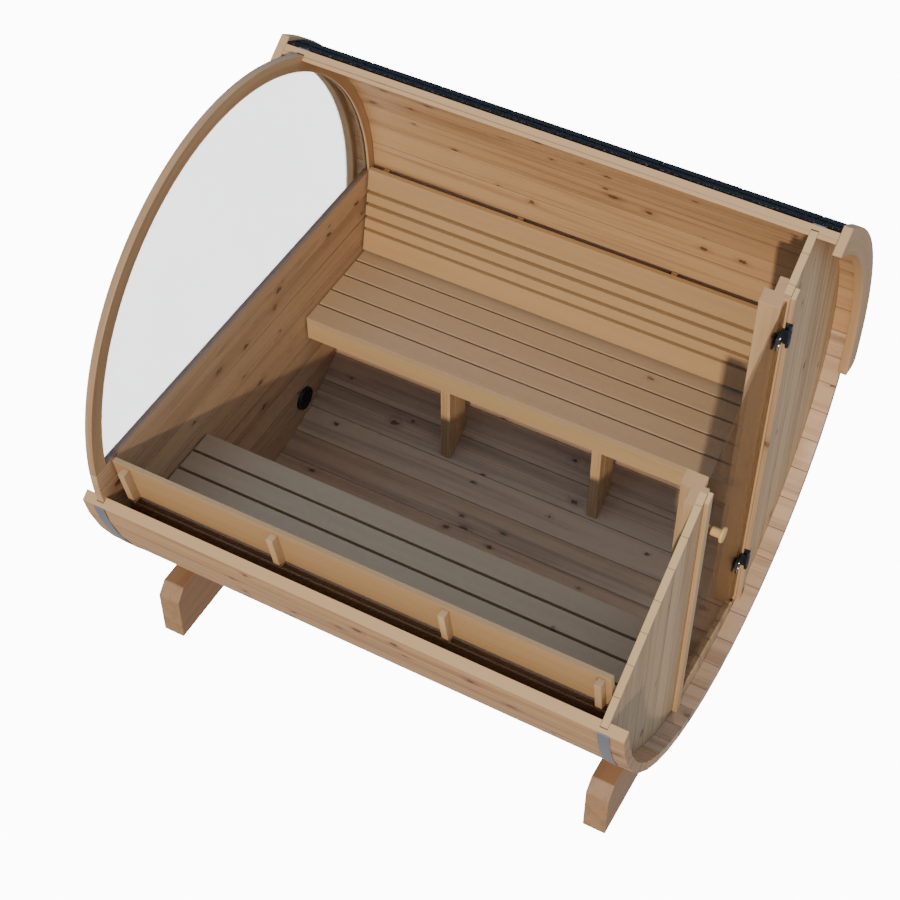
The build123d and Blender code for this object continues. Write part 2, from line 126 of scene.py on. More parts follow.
# Sun, and the camera by its place, the way its back faces and its slight roll
TOWARDS_SUN = Vector((0.235, -1.0, 0.516))
SUN_STRENGTH = 3.5
SUN_WIDTH = radians(1.5)
SUN_COLOUR = (1.0, 0.925, 0.79)
CAMERA_FROM_AXIS = Vector((2.26748, -4.34527, 5.17782))
CAMERA_BACK = Vector((0.320354, -0.585267, 0.744873))
CAMERA_ROLL = 0.001427
CAMERA_LENS = 76.293


# Shader building


def add(tree, kind, feeds=None, **settings):
    """Adds a node, sets it up and feeds its inputs from sockets or plain values."""
    made = tree.nodes.new(kind)
    for name, value in settings.items():
        setattr(made, name, value)
    for name, value in (feeds or {}).items():
        if isinstance(value, bpy.types.NodeSocket):
            tree.links.new(value, made.inputs[name])
        else:
            made.inputs[name].default_value = value
    return made


def work_out(tree, operation, *values, clamp=False):
    """A Math node on sockets or numbers."""
    feeds = dict(enumerate(values))
    return add(tree, "ShaderNodeMath", feeds, operation=operation, use_clamp=clamp).outputs[0]


def blend_colours(tree, share, first, second):
    """Goes from the first colour to the second as the share goes from 0 to 1."""
    made = add(tree, "ShaderNodeMix", data_type="RGBA")
    # The node's colour sockets come after its sockets for other kinds of data
    for socket, value in ((made.inputs[0], share), (made.inputs[6], first), (made.inputs[7], second)):
        if isinstance(value, bpy.types.NodeSocket):
            tree.links.new(value, socket)
        else:
            socket.default_value = value
    return made.outputs[2]


def soft_step(tree, value, low, high):
    """0 below low, 1 above high, smooth between; low may lie above high."""
    made = add(
        tree, "ShaderNodeMapRange",
        {"Value": value, "From Min": low, "From Max": high},
        interpolation_type="SMOOTHSTEP",
    )
    return made.outputs["Result"]


def noise(tree, vector, scale, detail=2.0, roughness=0.5):
    """Soft noise between 0 and 1."""
    made = add(
        tree, "ShaderNodeTexNoise",
        {"Vector": vector, "Scale": scale, "Detail": detail, "Roughness": roughness},
    )
    return made.outputs["Fac"]


def stretched(tree, vector, factors):
    """The vector with each of its parts multiplied."""
    return add(tree, "ShaderNodeVectorMath", {0: vector, 1: factors}, operation="MULTIPLY").outputs[0]


def camera_brightness(tree, plain, through_glass):
    """A strength that is plain for the light it gives, and brighter where it is looked at."""
    path = add(tree, "ShaderNodeLightPath").outputs
    glass = work_out(tree, "MULTIPLY_ADD", path["Is Transmission Ray"], through_glass - plain, plain)
    return work_out(tree, "MULTIPLY_ADD", path["Is Camera Ray"], SEEN_WHITE - plain, glass)


def new_group(name, inputs, outputs):
    """A shader node group with named sockets, and the sockets inside it."""
    group = bpy.data.node_groups.new(name, "ShaderNodeTree")
    for socket, kind in inputs:
        group.interface.new_socket(socket, in_out="INPUT", socket_type=kind)
    for socket, kind in outputs:
        group.interface.new_socket(socket, in_out="OUTPUT", socket_type=kind)
    start = group.nodes.new("NodeGroupInput")
    end = group.nodes.new("NodeGroupOutput")
    return group, start.outputs, end.inputs


FLOAT, COLOUR, VECTOR = "NodeSocketFloat", "NodeSocketColor", "NodeSocketVector"


def root_of_squares(tree, first, second):
    """How far away a point is that lies this far off in two directions."""
    squares = [work_out(tree, "MULTIPLY", side, side) for side in (first, second)]
    return work_out(tree, "SQRT", work_out(tree, "ADD", *squares))


def softwood_group():
    """Growth rings round a pith, fibres, knots and a tone of its own for each board."""
    group, given, result = new_group(
        "Softwood",
        (
            ("Board Position", VECTOR), ("Board", FLOAT), ("Early Wood", COLOUR), ("Late Wood", COLOUR),
            ("Knot Colour", COLOUR), ("Ring Strength", FLOAT), ("Streak Strength", FLOAT),
            ("Knot Share", FLOAT), ("Tone Spread", FLOAT),
        ),
        (("Colour", COLOUR), ("Roughness", FLOAT), ("Height", FLOAT)),
    )
    # Chance numbers for each board, which also shift its grain
    chance = add(group, "ShaderNodeTexWhiteNoise", {"W": given["Board"]}, noise_dimensions="1D")
    own = add(group, "ShaderNodeSeparateColor", {"Color": chance.outputs["Color"]}).outputs
    shift = stretched(group, chance.outputs["Color"], (40.0, 6.0, 6.0))
    place = add(
        group, "ShaderNodeVectorMath", {0: given["Board Position"], 1: shift}, operation="ADD",
    ).outputs[0]
    axes = add(group, "ShaderNodeSeparateXYZ", {"Vector": given["Board Position"]}).outputs

    # Knots: a small ragged disc in some of the cells, with a halo round it
    cells = add(
        group, "ShaderNodeTexVoronoi",
        {"Vector": stretched(group, place, (4.6, 8.0, 0.0)), "Scale": 1.0, "Randomness": 0.9},
        feature="F1", voronoi_dimensions="2D",
    )
    cell_chance = add(group, "ShaderNodeSeparateColor", {"Color": cells.outputs["Color"]}).outputs
    knotted = work_out(group, "LESS_THAN", cell_chance[0], given["Knot Share"])
    knot_size = work_out(group, "MULTIPLY_ADD", cell_chance[1], 0.06, 0.04)
    ragged = work_out(group, "MULTIPLY_ADD", noise(group, place, 70.0), 0.14, -0.07)
    knot_reach = work_out(group, "ADD", cells.outputs["Distance"], ragged)
    knot_reach = work_out(group, "DIVIDE", knot_reach, knot_size)
    knot = work_out(group, "MULTIPLY", soft_step(group, knot_reach, 1.15, 0.75), knotted)
    knot_halo = work_out(group, "MULTIPLY", soft_step(group, knot_reach, 3.2, 0.9), knotted)

    # Growth rings: how far a point is from a pith under the board, which wanders
    wander = noise(group, stretched(group, place, (0.8, 1.6, 1.6)), 1.0, 3.0)
    depth = work_out(group, "MULTIPLY_ADD", own[0], 0.07, 0.035)
    depth = work_out(group, "ADD", depth, work_out(group, "MULTIPLY", wander, 0.07))
    depth = work_out(group, "ADD", depth, work_out(group, "ABSOLUTE", axes[2]))
    side = work_out(group, "MULTIPLY_ADD", own[1], 0.10, -0.05)
    across = work_out(group, "ADD", work_out(group, "SINE", work_out(group, "MULTIPLY", axes[1], 3.0)), side)
    reach = root_of_squares(group, across, depth)
    reach = work_out(group, "MULTIPLY_ADD", knot_halo, 0.010, reach)
    ring = work_out(group, "FRACT", work_out(group, "MULTIPLY", reach, 150.0))
    late = work_out(group, "MULTIPLY", work_out(group, "POWER", ring, 3.0), given["Ring Strength"])

    # Fibres, darker streaks and the board's own tone, all as a share of late wood
    fibre = noise(group, stretched(group, place, (5.0, 210.0, 210.0)), 1.0, 3.0, 0.6)
    streak = noise(group, stretched(group, place, (0.7, 22.0, 22.0)), 1.0, 3.0, 0.6)
    streak = work_out(group, "MULTIPLY", soft_step(group, streak, 0.42, 0.72), given["Streak Strength"])
    fine = work_out(group, "MULTIPLY_ADD", fibre, 0.34, -0.17)
    share = work_out(group, "ADD", work_out(group, "ADD", late, streak), fine)
    share = work_out(group, "MULTIPLY_ADD", knot_halo, 0.35, share)
    tone = work_out(group, "MULTIPLY", work_out(group, "SUBTRACT", own[2], 0.5), given["Tone Spread"])
    share = work_out(group, "ADD", share, tone, clamp=True)
    colour = blend_colours(group, share, given["Early Wood"], given["Late Wood"])
    colour = blend_colours(group, knot, colour, given["Knot Colour"])
    group.links.new(colour, result["Colour"])
    group.links.new(work_out(group, "MULTIPLY_ADD", fibre, 0.2, 0.45), result["Roughness"])
    height = work_out(group, "SUBTRACT", fibre, work_out(group, "ADD", late, knot))
    group.links.new(height, result["Height"])
    return group


def along_board_group():
    """Turns a position into one along, across and into boards that run along X."""
    group, given, result = new_group("Board Along X", (("Position", VECTOR),), (("Board Position", VECTOR),))
    group.links.new(given["Position"], result["Board Position"])
    return group


def turned_board_group(name, order):
    """The same for boards that run along another axis, named by the axes in order."""
    group, given, result = new_group(name, (("Position", VECTOR),), (("Board Position", VECTOR),))
    axes = add(group, "ShaderNodeSeparateXYZ", {"Vector": given["Position"]}).outputs
    feeds = {0: axes[order[0]], 1: axes[order[1]], 2: axes[order[2]]}
    made = add(group, "ShaderNodeCombineXYZ", feeds)
    group.links.new(made.outputs[0], result["Board Position"])
    return group


def stave_group(name, bent=False):
    """The same for staves: along the barrel, round it and out from its skin, or bent round it."""
    group, given, result = new_group(name, (("Position", VECTOR),), (("Board Position", VECTOR),))
    axes = add(group, "ShaderNodeSeparateXYZ", {"Vector": given["Position"]}).outputs
    side = work_out(group, "SUBTRACT", axes["Y"], AXIS_Y)
    rise = work_out(group, "SUBTRACT", axes["Z"], AXIS_Z)
    turn = work_out(group, "ARCTAN2", side, work_out(group, "MULTIPLY", rise, -1.0))
    reach = root_of_squares(group, side, rise)
    around = work_out(group, "MULTIPLY", turn, BARREL_RADIUS)
    feeds = {
        0: around if bent else axes["X"],
        1: axes["X"] if bent else around,
        2: work_out(group, "SUBTRACT", reach, BARREL_RADIUS),
    }
    made = add(group, "ShaderNodeCombineXYZ", feeds)
    group.links.new(made.outputs[0], result["Board Position"])
    return group


def joint_line_group():
    """A thin line at every joint between boards of one width, from the position across them."""
    group, given, result = new_group(
        "Joint Line", (("Board Position", VECTOR), ("Start", FLOAT), ("Pitch", FLOAT)), (("Line", FLOAT),),
    )
    axes = add(group, "ShaderNodeSeparateXYZ", {"Vector": given["Board Position"]}).outputs
    boards = work_out(group, "DIVIDE", work_out(group, "SUBTRACT", axes["Y"], given["Start"]), given["Pitch"])
    apart = work_out(group, "ABSOLUTE", work_out(group, "SUBTRACT", boards, work_out(group, "ROUND", boards)))
    apart = work_out(group, "MULTIPLY", apart, given["Pitch"])
    group.links.new(soft_step(group, apart, JOINT_LINE, JOINT_LINE / 3), result["Line"])
    return group


SOFTWOOD = softwood_group()

# How the grain runs: along an axis, along the staves or bent round the barrel
LAYOUTS = {
    "X": along_board_group(),
    "Y": turned_board_group("Board Along Y", "YZX"),
    "Z": turned_board_group("Board Along Z", "ZYX"),
    "stave": stave_group("Stave Round Barrel"),
    "bent": stave_group("Board Bent Round Barrel", bent=True),
}

JOINT_LINES = joint_line_group()


def linear(red, green, blue):
    """A colour as it is read off a screen, made ready for the shader."""
    parts = (red / 255, green / 255, blue / 255)
    return (*(p / 12.92 if p <= 0.04045 else ((p + 0.055) / 1.055) ** 2.4 for p in parts), 1.0)


KNOT_COLOUR = linear(84, 52, 32)


def new_material(name):
    """A new material, its node tree and its main shader."""
    material = bpy.data.materials.new(name)
    material.use_nodes = True
    tree = material.node_tree
    return material, tree, tree.nodes["Principled BSDF"]


def wood(name, layout, early, late, rings, streaks, knots, spread=0.4, joints=None):
    """Wood of one kind; joints are the start and the pitch of the boards that it is made up of."""
    material, tree, shader = new_material(name)
    position = add(tree, "ShaderNodeTexCoord").outputs["Object"]
    placed = add(tree, "ShaderNodeGroup", node_tree=LAYOUTS[layout])
    tree.links.new(position, placed.inputs["Position"])
    number = add(tree, "ShaderNodeAttribute", attribute_name="board", attribute_type="GEOMETRY")
    grain = add(tree, "ShaderNodeGroup", node_tree=SOFTWOOD)
    tree.links.new(placed.outputs["Board Position"], grain.inputs["Board Position"])
    tree.links.new(number.outputs["Fac"], grain.inputs["Board"])
    own_values = {
        "Early Wood": linear(*early), "Late Wood": linear(*late), "Knot Colour": KNOT_COLOUR,
        "Ring Strength": rings, "Streak Strength": streaks, "Knot Share": knots, "Tone Spread": spread,
    }
    for socket, value in own_values.items():
        grain.inputs[socket].default_value = value
    raised = add(
        tree, "ShaderNodeBump",
        {"Height": grain.outputs["Height"], "Strength": 0.25, "Distance": 0.001},
    )
    colour = grain.outputs["Colour"]
    if joints:
        line = add(tree, "ShaderNodeGroup", node_tree=JOINT_LINES)
        tree.links.new(placed.outputs["Board Position"], line.inputs["Board Position"])
        line.inputs["Start"].default_value, line.inputs["Pitch"].default_value = joints
        shade = work_out(tree, "MULTIPLY", line.outputs["Line"], JOINT_SHADE)
        colour = blend_colours(tree, shade, colour, KNOT_COLOUR)
    tree.links.new(colour, shader.inputs["Base Color"])
    tree.links.new(grain.outputs["Roughness"], shader.inputs["Roughness"])
    tree.links.new(raised.outputs["Normal"], shader.inputs["Normal"])
    return material


def metal(name, colour, roughness, metallic):
    """Metal with a fine directional finish and slightly uneven gloss."""
    material, tree, shader = new_material(name)
    position = add(tree, "ShaderNodeTexCoord").outputs["Object"]
    lines = noise(tree, stretched(tree, position, (40.0, 40.0, 900.0)), 1.0, 2.0)
    patches = noise(tree, position, 9.0, 3.0)
    shade = work_out(tree, "MULTIPLY", patches, 0.25)
    darker = tuple(part * 0.72 for part in linear(*colour)[:3]) + (1.0,)
    tree.links.new(blend_colours(tree, shade, linear(*colour), darker), shader.inputs["Base Color"])
    tree.links.new(work_out(tree, "MULTIPLY_ADD", lines, 0.2, roughness - 0.1), shader.inputs["Roughness"])
    raised = add(tree, "ShaderNodeBump", {"Height": lines, "Strength": 0.08, "Distance": 0.0005})
    tree.links.new(raised.outputs["Normal"], shader.inputs["Normal"])
    shader.inputs["Metallic"].default_value = metallic
    return material


def shingle_material():
    """Bitumen felt under a coat of mineral grit, dark with scattered pale grains."""
    material, tree, shader = new_material("grit_shingle")
    position = add(tree, "ShaderNodeTexCoord").outputs["Object"]
    grains = add(tree, "ShaderNodeTexVoronoi", {"Vector": position, "Scale": 380.0})
    chance = add(tree, "ShaderNodeSeparateColor", {"Color": grains.outputs["Color"]}).outputs
    pale = work_out(tree, "GREATER_THAN", chance[0], 0.9)
    patches = noise(tree, position, 5.0, 4.0)
    colour = blend_colours(tree, patches, linear(14, 14, 16), linear(28, 28, 31))
    colour = blend_colours(tree, work_out(tree, "MULTIPLY", chance[1], 0.5), colour, linear(7, 7, 8))
    colour = blend_colours(tree, pale, colour, linear(78, 74, 72))
    tree.links.new(colour, shader.inputs["Base Color"])
    shader.inputs["Roughness"].default_value = 0.95
    shader.inputs["Specular IOR Level"].default_value = 0.15
    raised = add(
        tree, "ShaderNodeBump", {"Height": grains.outputs["Distance"], "Strength": 0.6, "Distance": 0.001},
    )
    tree.links.new(raised.outputs["Normal"], shader.inputs["Normal"])
    return material


def glass_material(name, colour, body):
    """Glass that hardly bends light; the share that is body tints it, and the rest is clear."""
    material, tree, shader = new_material(name)
    position = add(tree, "ShaderNodeTexCoord").outputs["Object"]
    haze = noise(tree, position, 3.0, 2.0)
    tree.links.new(work_out(tree, "MULTIPLY_ADD", haze, 0.02, body - 0.01), shader.inputs["Alpha"])
    shader.inputs["Base Color"].default_value = colour
    shader.inputs["Roughness"].default_value = 0.0
    shader.inputs["Transmission Weight"].default_value = 1.0
    shader.inputs["IOR"].default_value = 1.01
    return material


def moulded_plastic(name, colour):
    """Plastic with a fine pebbled skin."""
    material, tree, shader = new_material(name)
    position = add(tree, "ShaderNodeTexCoord").outputs["Object"]
    pebble = noise(tree, position, 700.0, 2.0)
    tree.links.new(
        blend_colours(tree, pebble, linear(*colour), linear(*(part + 14 for part in colour))),
        shader.inputs["Base Color"],
    )
    tree.links.new(work_out(tree, "MULTIPLY_ADD", pebble, 0.2, 0.3), shader.inputs["Roughness"])
    raised = add(tree, "ShaderNodeBump", {"Height": pebble, "Strength": 0.15, "Distance": 0.0004})
    tree.links.new(raised.outputs["Normal"], shader.inputs["Normal"])
    return material


# Finishes

WALL_STAVES = {"rings": 0.4, "streaks": 0.65, "knots": 0.45, "joints": (0.0, STAVE_PITCH)}
PLANED = {"rings": 0.2, "streaks": 0.2, "knots": 0.02}
SAWN = {"rings": 0.05, "streaks": 0.12}

STAVE_WOOD = wood("stave_pine", "stave", (177, 135, 90), (126, 84, 54), **WALL_STAVES)
# A paler, greyer copy of the stave wood for the staves that lie in shade, with the cool shade light painted
# into its colour
SHADE_TINTED_STAVE_WOOD = wood("stave_pine_painted_shade", "stave", (188, 150, 113), (134, 99, 72), spread=0.25, **WALL_STAVES)
BENT_WOOD = wood("bent_pine", "bent", (172, 132, 90), (128, 90, 58), rings=0.25, streaks=0.5, knots=0.05)
SEAT_WOOD = wood("seat_pine", "X", (166, 136, 102), (142, 110, 80), spread=0.15, **PLANED)
REST_WOOD = wood("backrest_pine", "X", (166, 128, 84), (140, 101, 62), spread=0.2, **PLANED)
APRON_WOOD = wood(
    "apron_pine", "X", (174, 139, 95), (148, 111, 71), rings=0.2, streaks=0.25, knots=0.04, spread=0.2,
)
REAR_WOOD = wood(
    "rear_wall_pine", "Y", (182, 144, 104), (142, 102, 70), rings=0.4, streaks=0.6, knots=0.4,
    joints=(AXIS_Z, REAR_BOARD),
)
FRONT_WOOD = wood(
    "front_wall_pine", "Z", (182, 146, 104), (140, 104, 68), rings=0.5, streaks=0.75, knots=0.2,
    joints=(FRONT_BOARD_START, FRONT_BOARD),
)
POST_WOOD = wood("upright_pine", "Z", (184, 146, 102), (140, 102, 68), rings=0.4, streaks=0.45, knots=0.2)
CRADLE_WOOD = wood("cradle_pine", "Y", (156, 115, 77), (112, 75, 47), rings=0.6, streaks=0.4, knots=0.3)
SAWN_STAVE = wood("sawn_stave", "stave", (188, 146, 98), (168, 126, 80), knots=0.0, spread=0.12, **SAWN)
SAWN_UPRIGHT = wood("sawn_upright", "Y", (194, 154, 104), (176, 134, 86), knots=0.02, spread=0.1, **SAWN)
# A darker copy of the sawn wood for the jambs' cut faces, with shade painted into its colour
SHADED_SAWN_JAMB = wood(
    "sawn_jamb_painted_shade", "Y", (168, 126, 84), (148, 106, 68), rings=0.05, streaks=0.2, knots=0.0, spread=0.1,
)
KNOB_WOOD = wood(
    "knob_wood", "X", (214, 170, 104), (170, 120, 64), rings=0.3, streaks=0.2, knots=0.0, spread=0.0,
)
BAND_STEEL = metal("band_steel", (150, 150, 158), 0.4, 0.9)
HINGE_STEEL = metal("hinge_black", (34, 37, 44), 0.35, 0.5)
BRIGHT_STEEL = metal("bright_steel", (205, 206, 210), 0.2, 1.0)
SHINGLE = shingle_material()
CLEAR_GLASS = glass_material("clear_glass", (0.88, 0.90, 0.91, 1.0), 0.66)
BRONZE_GLASS = glass_material("bronze_glass", (0.47, 0.37, 0.28, 1.0), 0.55)
BLACK_PLASTIC = moulded_plastic("black_plastic", (14, 14, 15))


# Mesh building


def node_mesh(node):
    """A merged copy of a CAD node's loose triangles, with flat faces made whole."""
    mesh = bmesh.new()
    mesh.from_mesh(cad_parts[node].data)
    bmesh.ops.remove_doubles(mesh, verts=mesh.verts, dist=0.00001)
    bmesh.ops.dissolve_limit(mesh, angle_limit=radians(1), verts=mesh.verts, edges=mesh.edges)
    return mesh


def ease_edges(mesh, width, segments=2):
    """Rounds every edge that is clearly sharp."""
    closed = [edge for edge in mesh.edges if len(edge.link_faces) == 2]
    sharp = [edge for edge in closed if edge.calc_face_angle() > radians(25)]
    bmesh.ops.bevel(
        mesh, geom=sharp, offset=width, segments=segments, profile=0.5, affect="EDGES", material=-1,
        clamp_overlap=True,
    )


def middle_of(vertices):
    """The mean place of some vertices."""
    return sum((vertex.co for vertex in vertices), Vector()) / len(vertices)


def place_in_order(board):
    """What loose boards are sorted by: across, then up, then along, to the nearest millimetre."""
    return tuple(round(sum(vertex.co[axis] for vertex in board) / len(board), 3) for axis in (1, 2, 0))


def loose_boards(mesh):
    """Lists the vertices of every loose board, in order of place."""
    unseen = set(mesh.verts)
    boards = []
    while unseen:
        reached = [unseen.pop()]
        for vertex in reached:
            for edge in vertex.link_edges:
                other = edge.other_vert(vertex)
                if other in unseen:
                    unseen.remove(other)
                    reached.append(other)
        boards.append(reached)
    return sorted(boards, key=place_in_order)


def number_boards(mesh, seed):
    """Gives every loose board its own number, which the wood reads for tone and grain."""
    layer = mesh.verts.layers.float.new("board")
    for number, board in enumerate(loose_boards(mesh)):
        for vertex in board:
            vertex[layer] = seed + number * BOARD_STEP


def mark_sawn(mesh):
    """Gives the second material to faces in the sloping cut, within 2 degrees and 10 mm of it."""
    for face in mesh.faces:
        reach = (face.calc_center_median() - BARREL_AXIS).dot(CUT_NORMAL)
        if face.normal.dot(CUT_NORMAL) > 0.9995 and abs(reach - CUT_REACH) < 0.01:
            face.material_index = 1


def widen_gaps(mesh):
    """Makes the gaps between boards that lie side by side wider, and leaves the outer two edges in place."""
    for before, after in pairwise(loose_boards(mesh)):
        for board, move in ((before, -WIDER_GAP / 2), (after, WIDER_GAP / 2)):
            middle = middle_of(board)
            for vertex in board:
                if (vertex.co.y - middle.y) * move < 0:
                    vertex.co.y += move


def lengthen_top_board(mesh):
    """Brings the lower edge of the top board down to the next board, along its own slope."""
    boards = sorted(loose_boards(mesh), key=lambda board: max(v.co.z for v in board))
    top, below = boards[-1], boards[-2]
    middle = middle_of(top)
    lower = [v for v in top if v.co.z < middle.z]
    upper = [v for v in top if v.co.z >= middle.z]
    slope = middle_of(lower) - middle_of(upper)
    gap = min(v.co.z for v in top) - max(v.co.z for v in below) - TIGHT_JOINT
    for vertex in lower:
        vertex.co += slope * (gap / abs(slope.z))


def add_to_scene(name, data):
    """Makes an object of a mesh, a light or a camera and adds it to the scene."""
    made = bpy.data.objects.new(name, data)
    bpy.context.scene.collection.objects.link(made)
    return made


def make_piece(name, mesh, materials, body, replaced=()):
    """Makes a mesh a visible piece that rides on a body."""
    data = bpy.data.meshes.new(name)
    mesh.to_mesh(data)
    mesh.free()
    for material in materials:
        data.materials.append(material)
    piece = add_to_scene(name, data)
    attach(piece, body)
    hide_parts(*replaced)


def eased(node, name, finish, width, seed, sawn=None, body="cabin", reshape=None):
    """A CAD node's boards with rounded edges, their own grain and, if they are cut, sawn faces."""
    mesh = node_mesh(node)
    if reshape:
        reshape(mesh)
    ease_edges(mesh, width)
    number_boards(mesh, seed)
    if sawn:
        mark_sawn(mesh)
    materials = (finish, sawn) if sawn else (finish,)
    make_piece(name, mesh, materials, body, (node,))


def bisected(mesh, point, normal):
    """Cuts off everything on the side that the normal points to and closes the cut."""
    cut = bmesh.ops.bisect_plane(
        mesh, geom=[*mesh.verts, *mesh.edges, *mesh.faces], plane_co=point, plane_no=normal,
        clear_outer=True, dist=0.000001,
    )
    edges = [part for part in cut["geom_cut"] if isinstance(part, bmesh.types.BMEdge)]
    bmesh.ops.contextual_create(mesh, geom=edges)


def boarded(node, finish, axis, pitch, start, groove, seed):
    """A wall piece divided into boards, with a small groove along every joint."""
    whole = node_mesh(node)
    low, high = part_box(node)
    joined = bmesh.new()
    normal = Vector()
    normal[axis] = 1
    edge = start
    while edge > low[axis]:
        edge -= pitch
    while edge < high[axis]:
        board = whole.copy()
        board_low = edge + WALL_GAP / 2
        board_high = edge + pitch - WALL_GAP / 2
        if board_low > low[axis]:
            bisected(board, normal * board_low, -normal)
        if board_high < high[axis]:
            bisected(board, normal * board_high, normal)
        # Where the wall has been cut away there is no board
        if len(board.faces) > 3:
            ease_edges(board, groove, segments=1)
            scratch = bpy.data.meshes.new("board")
            board.to_mesh(scratch)
            joined.from_mesh(scratch)
            bpy.data.meshes.remove(scratch)
        board.free()
        edge += pitch
    whole.free()
    bmesh.ops.recalc_face_normals(joined, faces=joined.faces)
    number_boards(joined, seed)
    mark_sawn(joined)
    make_piece(node + "_boards", joined, (finish, SAWN_UPRIGHT), "cabin", (node,))


def paint(node, material):
    """Gives a node that stays as it is its material."""
    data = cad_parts[node].data
    data.materials.clear()
    data.materials.append(material)


# Barrel, walls and roof

for number, node in enumerate(("shell_near", "shell_floor", "shell_far_lower", "shell_far_upper")):
    # The floor and the staves under the far bench lie in shade and get the copy with painted shade light
    finish = SHADE_TINTED_STAVE_WOOD if node in ("shell_floor", "shell_far_lower") else STAVE_WOOD
    seed = 10.0 + 20 * number
    eased(node, "staves_" + node, finish, STAVE_EDGE, seed, sawn=SAWN_STAVE)

boarded("rear_wall", REAR_WOOD, ALONG_Z, REAR_BOARD, AXIS_Z, REAR_GROOVE, seed=101.0)
for number, node in enumerate(("front_wall_near", "front_wall_far", "front_wall_sill")):
    seed = 121.0 + 20 * number
    boarded(node, FRONT_WOOD, ALONG_Y, FRONT_BOARD, FRONT_BOARD_START, FRONT_GROOVE, seed)
eased("window_rim", "window_rim_arch", BENT_WOOD, BOARD_EDGE, seed=200.0, sawn=SAWN_STAVE)
for end in ("rear", "front"):
    fascia = f"roof_fascia_{end}"
    eased(fascia, fascia + "_board", BENT_WOOD, FASCIA_EDGE, seed=210.0, sawn=SAWN_STAVE)
    eased(f"cradle_{end}", f"cradle_{end}_beam", CRADLE_WOOD, BEAM_EDGE, seed=220.0)
    paint(f"hoop_{end}", BAND_STEEL)
paint("roof_shingles", SHINGLE)
paint("window_glass", CLEAR_GLASS)
paint("vent_grille", BLACK_PLASTIC)


# Doorway

for side in ("near", "far"):
    jamb = f"door_jamb_{side}"
    trim = f"door_trim_{side}"
    # The jambs' cut faces get the sawn wood with painted shade
    eased(f"door_frame_{side}", jamb, POST_WOOD, JAMB_EDGE, seed=230.0, sawn=SHADED_SAWN_JAMB)
    eased(f"door_casing_{side}", trim, POST_WOOD, BOARD_EDGE, seed=240.0, sawn=SAWN_UPRIGHT)


# Benches

for side in ("near", "far"):
    slats, apron, posts = (f"{side}_seat_{part}" for part in ("slats", "apron", "posts"))
    boards, blocks = (f"{side}_backrest_{part}" for part in ("boards", "blocks"))
    change = lengthen_top_board if side == "near" else None
    eased(f"{side}_bench_seat", slats, SEAT_WOOD, PLANED_EDGE, seed=250.0, reshape=widen_gaps)
    eased(f"{side}_bench_front", apron, APRON_WOOD, BOARD_EDGE, seed=260.0)
    eased(f"{side}_bench_supports", posts, POST_WOOD, BOARD_EDGE, seed=270.0)
    eased(f"{side}_backrest", boards, REST_WOOD, PLANED_EDGE, seed=280.0, reshape=change)
    eased(f"{side}_backrest_ribs", blocks, POST_WOOD, BOARD_EDGE, seed=290.0)


# Door

paint("door_glass", BRONZE_GLASS)
eased("door_knob", "turned_knob", KNOB_WOOD, KNOB_EDGE, seed=300.0, body="door")
for level in ("upper", "lower"):
    leaf = f"hinge_leaf_{level}"
    clamp = f"hinge_clamp_{level}"
    eased(f"door_hinge_frame_{level}", leaf, HINGE_STEEL, METAL_EDGE, seed=1.0)
    eased(f"door_hinge_glass_{level}", clamp, HINGE_STEEL, METAL_EDGE, seed=1.0, body="door")


# Small parts


def add_box(mesh, low, high):
    """Adds a box between two corners."""
    size = [end - start for start, end in zip(low, high)]
    centre = [(start + end) / 2 for start, end in zip(low, high)]
    place = Matrix.Translation(centre) @ Matrix.Diagonal((*size, 1.0))
    bmesh.ops.create_cube(mesh, size=1.0, matrix=place)


def add_screw_head(mesh, centre, direction):
    """Adds a low round head whose middle stands at the centre, narrower at its outer end."""
    turn = Vector(direction).to_track_quat("Z", "Y").to_matrix().to_4x4()
    bmesh.ops.create_cone(
        mesh, cap_ends=True, segments=24, radius1=SCREW_RADIUS, radius2=SCREW_RADIUS * 0.85,
        depth=SCREW_DEPTH, matrix=Matrix.Translation(centre) @ turn,
    )


def hinge_trim(level):
    """Screw heads on the leaf and the clamp, and a bright strip on the clamp's free end."""
    low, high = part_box(f"door_hinge_frame_{level}")
    inset_x, inset_y, inset_z = LEAF_SCREW_INSET
    screws = bmesh.new()
    for z in (low.z + inset_z, high.z - inset_z):
        add_screw_head(screws, (low.x + inset_x, high.y - inset_y, z), (0, -1, 0))
    make_piece(f"leaf_screws_{level}", screws, (BRIGHT_STEEL,), "cabin")

    low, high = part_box(f"door_hinge_glass_{level}")
    inset_y, inset_z = CLAMP_SCREW_INSET
    glass_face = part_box("door_glass")[1].x
    plate_face = glass_face + CLAMP_PLATE
    trim = bmesh.new()
    for z in (low.z + inset_z, high.z - inset_z):
        add_screw_head(trim, (plate_face, low.y + inset_y, z), (1, 0, 0))
    add_box(
        trim, (glass_face + STRIP_PROUD, low.y - STRIP_PROUD, low.z + STRIP_PROUD),
        (plate_face + STRIP_PROUD, low.y + STRIP_WIDTH, high.z - STRIP_PROUD),
    )
    make_piece(f"clamp_trim_{level}", trim, (BRIGHT_STEEL,), "door")


